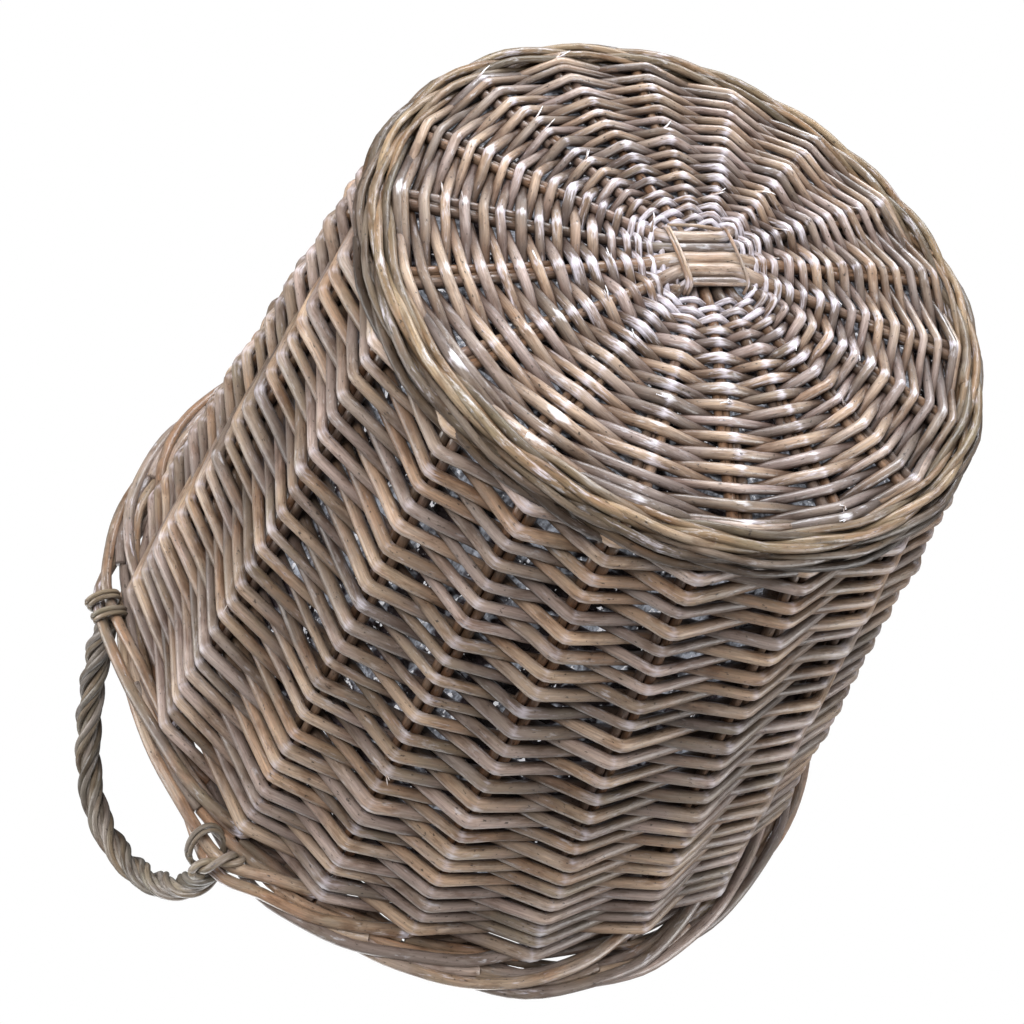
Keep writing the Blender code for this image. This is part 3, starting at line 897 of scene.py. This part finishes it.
def spoke_ends(number):
    """Where a spoke leaves the slath, and where it meets the wall."""
    stick = number % STICK_COUNT
    below = stick < STICKS_BELOW
    middle = (STICKS_BELOW - 1) / 2 if below else STICKS_BELOW + (STICKS_ABOVE - 1) / 2
    across = (stick - middle) * STICK_SPACING
    along = STICK_SPACING * ((STICKS_ABOVE if below else STICKS_BELOW) / 2 + 0.25)
    axis = SLATH_TURN + (0.0 if below else math.pi / 2)
    if number // STICK_COUNT % 2:
        axis += math.pi
    start = Vector((along * math.cos(axis) - across * math.sin(axis),
                    along * math.sin(axis) + across * math.cos(axis), 0.0))
    fan = axis + (stick - middle) * math.pi / STICK_COUNT
    return start + SLATH_SHIFT, polar(fan, stake_radius(STAKE_FOOT) - 0.0035, 0.0)


def spoke_point(number, share, height):
    start, end = spoke_ends(number)
    return start.lerp(end, share) + UP * height


def stick_rod(stick):
    below = stick < STICKS_BELOW
    lift = -STICK_LIFT if below else STICK_LIFT
    ends = STICKS_BELOW - 1 if below else STICKS_BELOW + STICK_COUNT - 1
    other = STICK_COUNT + ends - stick
    corners = [
        spoke_point(other, 1.0, STICK_HEIGHT),
        spoke_point(other, 0.10, STICK_HEIGHT),
        spoke_point(other, 0.0, STICK_HEIGHT + lift),
        spoke_point(stick, 0.0, STICK_HEIGHT + lift),
        spoke_point(stick, 0.10, STICK_HEIGHT),
        spoke_point(stick, 1.0, STICK_HEIGHT),
    ]
    path = with_middles(bent(corners, 0.006), 0.0006, stick)
    width = STICK_WIDTHS[stick]
    rod = tapered(path, width, width * 0.9, 700 + stick)
    for index, point in enumerate(path):
        far = (point - SLATH_SHIFT).length
        if far > STICK_THINS_FROM:
            rod.radii[index] *= max(SPOKE_WIDTH / width, 1.0 - (far - STICK_THINS_FROM) * 8.0)
        if far > STICK_ENDS_FROM:
            rod.radii[index] *= max(STICK_END_SHARE, 1.0 - (far - STICK_ENDS_FROM) * 25.0)
    return rod


def stake_feet(stick):
    """Thin stake ends pushed in beside both arms of a stick."""
    rods = []
    chance = random.Random(3000 + stick)
    below = stick < STICKS_BELOW
    ends = STICKS_BELOW - 1 if below else STICKS_BELOW + STICK_COUNT - 1
    for arm in (stick, STICK_COUNT + ends - stick):
        start, end = spoke_ends(arm)
        aside = (end - start).normalized().cross(UP)
        for hand in (-1, 1):
            first = chance.uniform(0.42, 0.60)
            path = [spoke_point(arm, first + (0.99 - first) * step / 6, STICK_HEIGHT)
                    + aside * hand * (0.0036 + chance.uniform(-0.0004, 0.0004))
                    for step in range(7)]
            rods.append(tapered(path, 0.0050, 0.0066, 3100 + arm * 2 + hand, 0.05))
    return rods


def base_share(row):
    """How far out on the spokes a row lies, the first rows closer together."""
    total = sizes().base_rows
    reach = BASE_TIGHT_STEP * BASE_TIGHT_ROWS + BASE_WIDE_STEP * (total - BASE_TIGHT_ROWS)
    row = min(row, total)
    here = (BASE_TIGHT_STEP * min(row, BASE_TIGHT_ROWS)
            + BASE_WIDE_STEP * max(row - BASE_TIGHT_ROWS, 0.0))
    return BASE_FIRST_SHARE + BASE_WOVEN_SHARE * here / reach


def base_width(row):
    size = sizes()
    return 0.0036 + (size.base_rod - 0.0036) * min(max(row - 1.0, 0.0) / 8.0, 1.0)


def base_corner(step, strand, width, chance):
    spokes = 2 * STICK_COUNT
    row = 2 * step / spokes + strand
    share = base_share(row)
    if step % STICK_COUNT >= STICKS_BELOW:
        share -= 0.030 * max(1.0 - row / 6.0, 0.0)
    stand = (0.0054 + width) / 2
    side = 1.0 if (step + strand) % 2 == 0 else -1.0
    jitter = chance.uniform(-0.0004, 0.0004)
    point = spoke_point(step, share, STICK_HEIGHT + stand * side + jitter)
    across = outward(point)
    along = across.cross(UP)
    return point + across * chance.uniform(-0.0010, 0.0010) + along * chance.uniform(-0.0010, 0.0010)


def base_rods(strand):
    """Rods laid one after the other along one of the base's two spirals."""
    spokes = 2 * STICK_COUNT
    chance = random.Random(900 + strand)
    last_step = int((sizes().base_rows + 2 - strand) * spokes / 2)
    rods = []

    def lengths(step):
        return (14, 24) if 2 * step / spokes < 8 else (8, 14)

    laid = spans(0, last_step, lengths, strand, 4, chance)
    for number, (step, stop) in enumerate(laid):
        width = base_width(2 * step / spokes) * chance.uniform(0.90, 1.12)
        tip = width * chance.uniform(0.80, 0.92)
        corners = []
        for here in range(step, stop + 1):
            share = (here - step) / (stop - step)
            corners.append(base_corner(here, strand, width + (tip - width) * share, chance))
        made = woven(corners, width, tip, 0.0008, 0.06, 0.08, 20000 + strand * 1000 + number)
        for index, point in enumerate(made[0].points):
            toward = (point - SLATH_SHIFT).normalized()
            made[0].radii[index] *= 1.0 - 1.2 * toward.dot(SLATH_SHIFT) / stake_radius(0.0)
        rods.extend(made)
    return rods


def skein_rods():
    """Thin skeins across both ends of the lower sticks, and along two sides."""
    height = STICK_HEIGHT - STICK_LIFT - 0.0047 - 0.0008
    along = Vector((math.cos(SLATH_TURN), math.sin(SLATH_TURN), 0.0))
    across = Vector((-along.y, along.x, 0.0))
    middle = SLATH_SHIFT + UP * height

    def at(x, y, lift=0.0):
        return middle + along * x + across * y + UP * lift

    ways = []
    for x in (-0.0180, 0.0172, 0.0195):
        ways.append([at(x + 0.0010, -0.0225, 0.0080), at(x, -0.0195, 0.0015), at(x, -0.0080),
                     at(x, 0.0080), at(x, 0.0195, 0.0015), at(x - 0.0010, 0.0225, 0.0080)])
    ways.append([at(-0.0200, -0.0200, 0.0030), at(0.0, -0.0215, 0.0010), at(0.0180, -0.0190, 0.0030)])
    ways.append([at(-0.0170, 0.0190, 0.0030), at(0.0, 0.0208, 0.0014), at(0.0160, 0.0225, 0.0030)])
    rods = []
    for index, way in enumerate(ways):
        rods.append(tapered(smooth_path(way, 4), 0.0022, 0.0018, 30000 + index))
    return rods


# Foot

WALE_ROWS = {
    "foot_wale_1": ((0.1655, STICK_HEIGHT - 0.0002, 0.15, -0.99),),
    "foot_wale_2": ((0.1697, 0.0106, 0.55, -0.83),),
    "foot_wale_3": ((0.1730, 0.0140, 0.95, -0.30),),
    "foot_wale_4": ((0.1738, 0.0190, 1.0, 0.0),),
}


def wale_rods(node):
    """Three rods that take turns: outside two stakes and inside the third."""
    size = sizes()
    rods = []
    for row, (radius, height, out, up) in enumerate(WALE_ROWS[node]):
        for strand in range(3):
            seed = 40000 + int(node[-1]) * 100 + row * 10 + strand
            chance = random.Random(seed)
            first = chance.randint(0, 20)
            width = size.wale_rod * chance.uniform(0.80, 1.18)
            stand = (size.stake_rod + width) / 2 - 0.0004
            corners = []
            last = None
            for step in range(first, first + STAKE_COUNT + 2):
                angle = stake_angle(FOOT_ANGLES, step)
                phase = (step + strand) % 3
                off = (stand, stand, -stand)[phase] + chance.uniform(-0.0009, 0.0009)
                slide = (-0.0019, 0.0019, 0.0)[phase] + chance.uniform(-0.0009, 0.0009)
                if last is not None:
                    middle = (angle + last[0]) / 2
                    level = (off + last[1]) / 2 + (0.0012 if off * last[1] > 0 else 0.0)
                    shift = (slide + last[2]) / 2
                    corners.append(polar(middle, radius + 0.0014 + out * level - up * shift * 0.9,
                                         height + up * level + out * shift))
                corners.append(polar(angle, radius + out * off - up * slide * 0.9,
                                     height + up * off + out * slide))
                last = (angle, off, slide)
            path = with_middles(bent(corners, 0.011), 0.0006, seed)
            rods.append(tapered(path, width, width * 0.85, seed, 0.06))
    return rods


# Handles

def handle_frame(name):
    """Hinge point, along the hinge, and the way the rope stands."""
    ends = [border_point(stake + 1, *HANDLE_SEAT) for stake in HANDLE_STAKES[name]]
    middle = (ends[0] + ends[1]) / 2
    along = (ends[0] - ends[1]).normalized()
    out = along.cross(UP)
    tilt = sizes().handle_tilt
    stand = out * math.cos(tilt) + UP * math.sin(tilt)
    return middle, along, out, stand, (ends[0] - ends[1]).length / 2


def rope_path(name, start, count=49):
    middle, along, _, stand, half_span = handle_frame(name)
    points = []
    for step in range(count):
        turn = math.pi * step / (count - 1)
        lean = max(math.cos(turn), 0.0)
        power = 1.1 + 0.30 * lean
        span = half_span - 0.013 * lean
        side = math.copysign(abs(math.cos(turn)) ** power, math.cos(turn)) * span
        rise = start + math.sin(turn) ** power * (sizes().handle_rise - start)
        points.append(middle + along * side + stand * rise)
    return points


def frames_along(points):
    """Two cross directions at each point, without spin."""
    frames = []
    cross = None
    for index in range(len(points)):
        ahead = points[min(index + 1, len(points) - 1)] - points[max(index - 1, 0)]
        ahead.normalize()
        if cross is None:
            cross = ahead.orthogonal()
        cross = (cross - ahead * cross.dot(ahead)).normalized()
        frames.append((cross.copy(), ahead.cross(cross)))
    return frames


def rope_rods(name):
    """Three strands of thin rods, each strand turned and all laid together."""
    size = sizes()
    path = rope_path(name, 0.007, 129)
    frames = frames_along(path)
    rods = []
    thin = size.rope_width * 0.240
    strand_reach = size.rope_width * 0.238
    rod_reach = thin * 0.54
    lengths = distances(path)
    for strand in range(ROPE_STRANDS):
        for part in range(STRAND_RODS):
            points = []
            for point, (one, two), here in zip(path, frames, lengths):
                lay = math.tau * here / size.rope_lay + math.tau * strand / ROPE_STRANDS
                turn = lay * 1.05 + math.tau * part / STRAND_RODS
                ease = min(here / 0.03, (lengths[-1] - here) / 0.03, 1.0)
                reach = strand_reach * (0.72 + 0.28 * ease)
                middle = point + (one * math.cos(lay) + two * math.sin(lay)) * reach
                points.append(middle + (one * math.cos(turn) + two * math.sin(turn)) * rod_reach)
            seed = 50000 + strand * 10 + part + (100 if name == "handle_b" else 0)
            rods.append(tapered(points, thin, thin * 0.94, seed, 0.07))
    return rods


def loop_rods(name, number):
    """Two thin rods of the rope's end, wound round the border and back."""
    middle, along, out, _, half_span = handle_frame(name)
    end = 1 if number < 2 else -1
    beside, width, wide, lean, phase, twists = HANDLE_LOOPS[number]
    centre = middle + along * (end * half_span + beside)
    inner = sizes().border_rod - 0.0002
    rods = []
    for part in (0, 1):
        points = []
        for step in range(41):
            turn = math.tau * step / 40
            wind = math.pi * part + twists * turn
            reach = inner + width / 2 + (0.5 - 0.5 * math.cos(wind)) * (width if twists else 0.0006)
            reach += wide * (0.5 + 0.5 * math.cos(turn))
            aside = (part - 0.5) * 0.96 if not twists else 0.48 * math.sin(wind)
            drift = along * (aside * width + lean * math.sin(turn + phase))
            points.append(centre + out * math.cos(turn) * reach
                          + UP * math.sin(turn) * reach + drift)
        seed = 60000 + number * 10 + part + (100 if name == "handle_b" else 0)
        points[-1] = points[-1] + along * 0.0006
        rods.append(tapered(points, width, width * 0.94, seed))
    return rods


# Liner

def liner_mesh():
    """A cone of film, subdivided and crumpled inwards."""
    shell = bmesh.new()
    bmesh.ops.create_cone(
        shell, cap_ends=True, segments=180, depth=FILM_HIGH - FILM_LOW,
        radius1=stake_radius(FILM_LOW) - FILM_INSET,
        radius2=stake_radius(FILM_HIGH) - FILM_INSET)
    lid = [face for face in shell.faces if face.normal.z > 0.9]
    bmesh.ops.delete(shell, geom=lid, context="FACES_ONLY")
    sides = [edge for edge in shell.edges
             if abs(edge.verts[0].co.z - edge.verts[1].co.z) > 0.1]
    bmesh.ops.subdivide_edges(shell, edges=sides, cuts=70, use_grid_fill=True)
    floor = [face for face in shell.faces if face.normal.z < -0.9]
    bmesh.ops.inset_region(shell, faces=floor, thickness=0.02)
    for vert in shell.verts:
        vert.co.z += (FILM_HIGH + FILM_LOW) / 2
        radius = math.hypot(vert.co.x, vert.co.y)
        if radius > 0.1:
            fold = abs(noise.noise(vert.co * 38.0)) + 0.7 * abs(noise.noise(vert.co * 90.0))
            shrink = 0.0075 * fold
            vert.co.x *= 1.0 - shrink / radius
            vert.co.y *= 1.0 - shrink / radius
    mesh = bpy.data.meshes.new("liner_film")
    bmesh.ops.recalc_face_normals(shell, faces=shell.faces)
    shell.to_mesh(mesh)
    shell.free()
    mesh.shade_smooth()
    return mesh


# Operators

def dress(name, rods, finish, node, slot, body="basket", sides=12):
    """One piece made of rods, in place of one node of the frame."""
    return place(name, sweep(name, rods, sides), looks(finish), body, [node], slot)


class BASKET_OT_stakes(bpy.types.Operator):
    """Sets up the doubled stakes and bends their tops into the border"""
    bl_idname = "basket.stakes"
    bl_label = "Stakes and border"

    def execute(self, context):
        for number in range(STAKE_COUNT):
            mark = f"{number + 1:02d}"
            dress(f"stake_rods_{mark}", stake_rods(number), "stake", f"stake_{mark}",
                  "willow_stake")
        return {"FINISHED"}


class BASKET_OT_wall(bpy.types.Operator):
    """Weaves the wall's rods in front of one stake and behind the next"""
    bl_idname = "basket.wall"
    bl_label = "Wall"

    def execute(self, context):
        total = sizes().wall_rows * STAKE_COUNT
        for band in range(WALL_BANDS):
            first = round(total * band / WALL_BANDS) | 1
            last = round(total * (band + 1) / WALL_BANDS) | 1
            dress(f"wall_rods_{band + 1}", wall_rods(first, last, 10 + band), "wall",
                  f"wall_weave_{band + 1}", "willow_weathered")
        return {"FINISHED"}


class BASKET_OT_base(bpy.types.Operator):
    """Crosses the base's sticks and weaves round them"""
    bl_idname = "basket.base"
    bl_label = "Base"

    def execute(self, context):
        for stick in range(STICK_COUNT):
            dress(f"base_stick_rod_{stick + 1}", [stick_rod(stick), *stake_feet(stick)], "stick",
                  f"base_stick_{stick + 1}", "willow_base")
        for strand in (0, 1):
            dress(f"base_rods_{strand + 1}", base_rods(strand), "base",
                  f"base_weaver_{strand + 1}", "willow_base")
        dress("slath_skein", skein_rods(), "stick", "slath_tie", "willow_base", sides=8)
        return {"FINISHED"}


class BASKET_OT_foot(bpy.types.Operator):
    """Lays the wale round the foot, over the corner of base and wall"""
    bl_idname = "basket.foot"
    bl_label = "Foot wale"

    def execute(self, context):
        for node in WALE_ROWS:
            dress(f"{node}_rods", wale_rods(node), "wale", node, "willow_wale")
        return {"FINISHED"}


class BASKET_OT_handles(bpy.types.Operator):
    """Lays up the rope handles and winds their ends round the border"""
    bl_idname = "basket.handles"
    bl_label = "Handles"

    def execute(self, context):
        for body in HANDLE_STAKES:
            dress(f"{body}_rope_rods", rope_rods(body), "handle", f"{body}_rope",
                  "willow_rope", body)
            for number in range(len(HANDLE_LOOPS)):
                dress(f"{body}_binding_{number + 1}", loop_rods(body, number), "handle",
                      f"{body}_loop_{number + 1}", "willow_rope", body, 8)
        return {"FINISHED"}


class BASKET_OT_liner(bpy.types.Operator):
    """Lines the basket with crumpled clear film"""
    bl_idname = "basket.liner"
    bl_label = "Liner"

    def execute(self, context):
        faces = [clear_film("clear_film", colours().film), film_inside("clear_film_inside")]
        piece = place("liner_film", liner_mesh(), faces, "basket", ["liner"], "clear_film")
        wall = piece.modifiers.new("film", "SOLIDIFY")
        wall.thickness = FILM_WALL
        wall.offset = -1.0
        wall.material_offset = 1
        return {"FINISHED"}


CAMERA_PLACE = Vector((0.5325, -0.3906, -0.5624))
CAMERA_RIGHT = Vector((-0.8376, -0.4516, -0.3073))
CAMERA_UP = Vector((-0.2332, 0.8044, -0.5463))


def add_camera():
    lens = bpy.data.cameras.new("camera")
    lens.sensor_width = 36.0
    lens.lens = LENS
    lens.clip_start = 0.01
    camera = bpy.data.objects.new("camera", lens)
    right = CAMERA_RIGHT.normalized()
    back = right.cross(CAMERA_UP).normalized()
    up = back.cross(right)
    turn = Matrix((right, up, back)).transposed()
    camera.matrix_world = Matrix.Translation(CAMERA_PLACE) @ turn.to_4x4()
    bpy.context.scene.collection.objects.link(camera)
    bpy.context.scene.camera = camera


def add_softbox(name, toward, size, power, colour=WHITE):
    """A square light that faces the middle of the basket."""
    middle = Vector((0.0, 0.0, 0.2))
    lamp = bpy.data.lights.new(name, "AREA")
    lamp.shape = "SQUARE"
    lamp.size = size
    lamp.energy = power
    lamp.color = colour
    held = bpy.data.objects.new(name, lamp)
    toward = Vector(toward).normalized()
    held.location = middle + toward * LIGHT_DISTANCE
    held.rotation_euler = toward.to_track_quat("Z", "Y").to_euler()
    bpy.context.scene.collection.objects.link(held)
    return held


class BASKET_OT_stage(bpy.types.Operator):
    """Sets the pale floor, the soft lights and the white surroundings"""
    bl_idname = "basket.stage"
    bl_label = "Studio"

    def execute(self, context):
        scene = context.scene
        scene.view_settings.view_transform = "Standard"
        world = bpy.data.worlds.new("studio")
        scene.world = world
        world.use_nodes = True
        nodes = world.node_tree.nodes
        links = world.node_tree.links
        nodes.clear()
        path = nodes.new("ShaderNodeLightPath")
        choice = nodes.new("ShaderNodeMixShader")
        out = nodes.new("ShaderNodeOutputWorld")
        for socket, strength in ((1, SURROUNDINGS), (2, 1.0)):
            glow = nodes.new("ShaderNodeBackground")
            glow.inputs["Color"].default_value = (*WHITE, 1.0)
            glow.inputs["Strength"].default_value = strength
            links.new(glow.outputs[0], choice.inputs[socket])
        links.new(path.outputs["Is Camera Ray"], choice.inputs[0])
        links.new(choice.outputs[0], out.inputs["Surface"])
        shell = bmesh.new()
        bmesh.ops.create_grid(shell, x_segments=1, y_segments=1, size=6.0)
        mesh = bpy.data.meshes.new("floor")
        shell.to_mesh(mesh)
        shell.free()
        floor = bpy.data.objects.new("floor", mesh)
        scene.collection.objects.link(floor)
        look = Recipe("pale_floor")
        look.set(Base_Color=tuple(colours().floor), Roughness=0.9)
        clear = look.node("ShaderNodeBsdfTransparent")
        back = look.node("ShaderNodeNewGeometry", output="Backfacing")
        merged = look.node("ShaderNodeMixShader", values={
            0: back, 1: Value(look, look.shader.outputs[0]), 2: clear})
        look.join(merged, look.tree.nodes["Material Output"].inputs["Surface"])
        mesh.materials.append(look.material)
        floor.visible_shadow = False
        floor.visible_diffuse = False
        floor.visible_glossy = False
        right = CAMERA_RIGHT
        up = CAMERA_UP
        toward = right.cross(up)
        key = add_softbox("key", up * 0.80 + toward * 0.60, 0.75, 20.0)
        key.visible_glossy = False
        front = add_softbox("front", -right * 0.25 + up * 0.35 + toward * 0.9, 0.7, 30.0)
        front.visible_glossy = False
        add_softbox("glint", up * 0.86 + right * 0.40 + toward * 0.12, 0.60, 16.0,
                    (0.90, 0.94, 1.0))
        add_softbox("side_left", up * 0.1 - right * 1.0 + toward * 0.1, 1.0, 18.0)
        add_softbox("side_right", -up * 0.5 + right * 1.0 + toward * 0.3, 1.0, 22.0)
        add_softbox("top", (0.2, -0.3, 1.0), 1.4, 18.0)
        return {"FINISHED"}


OPERATORS = (
    BASKET_OT_stakes,
    BASKET_OT_wall,
    BASKET_OT_base,
    BASKET_OT_foot,
    BASKET_OT_handles,
    BASKET_OT_liner,
    BASKET_OT_stage,
)


class BASKET_PT_panel(bpy.types.Panel):
    """Lists the sizes, colours and steps of the basket"""
    bl_idname = "BASKET_PT_panel"
    bl_label = "Willow basket"
    bl_space_type = "VIEW_3D"
    bl_region_type = "UI"
    bl_category = "Basket"

    def draw(self, context):
        for group in (context.scene.basket_sizes, context.scene.basket_colours):
            box = self.layout.box()
            for name in group.__annotations__:
                box.prop(group, name)
        for operator in OPERATORS:
            self.layout.operator(operator.bl_idname)


CLASSES = (BasketSizes, BasketColours, *OPERATORS, BASKET_PT_panel)


def register():
    for kind in CLASSES:
        bpy.utils.register_class(kind)
    bpy.types.Scene.basket_sizes = bpy.props.PointerProperty(type=BasketSizes)
    bpy.types.Scene.basket_colours = bpy.props.PointerProperty(type=BasketColours)


def unregister():
    del bpy.types.Scene.basket_sizes
    del bpy.types.Scene.basket_colours
    for kind in reversed(CLASSES):
        bpy.utils.unregister_class(kind)


def main():
    register()
    add_camera()
    bpy.ops.basket.stakes()
    bpy.ops.basket.wall()
    bpy.ops.basket.base()
    bpy.ops.basket.foot()
    bpy.ops.basket.handles()
    bpy.ops.basket.liner()
    bpy.ops.basket.stage()


if __name__ == "__main__":
    main()
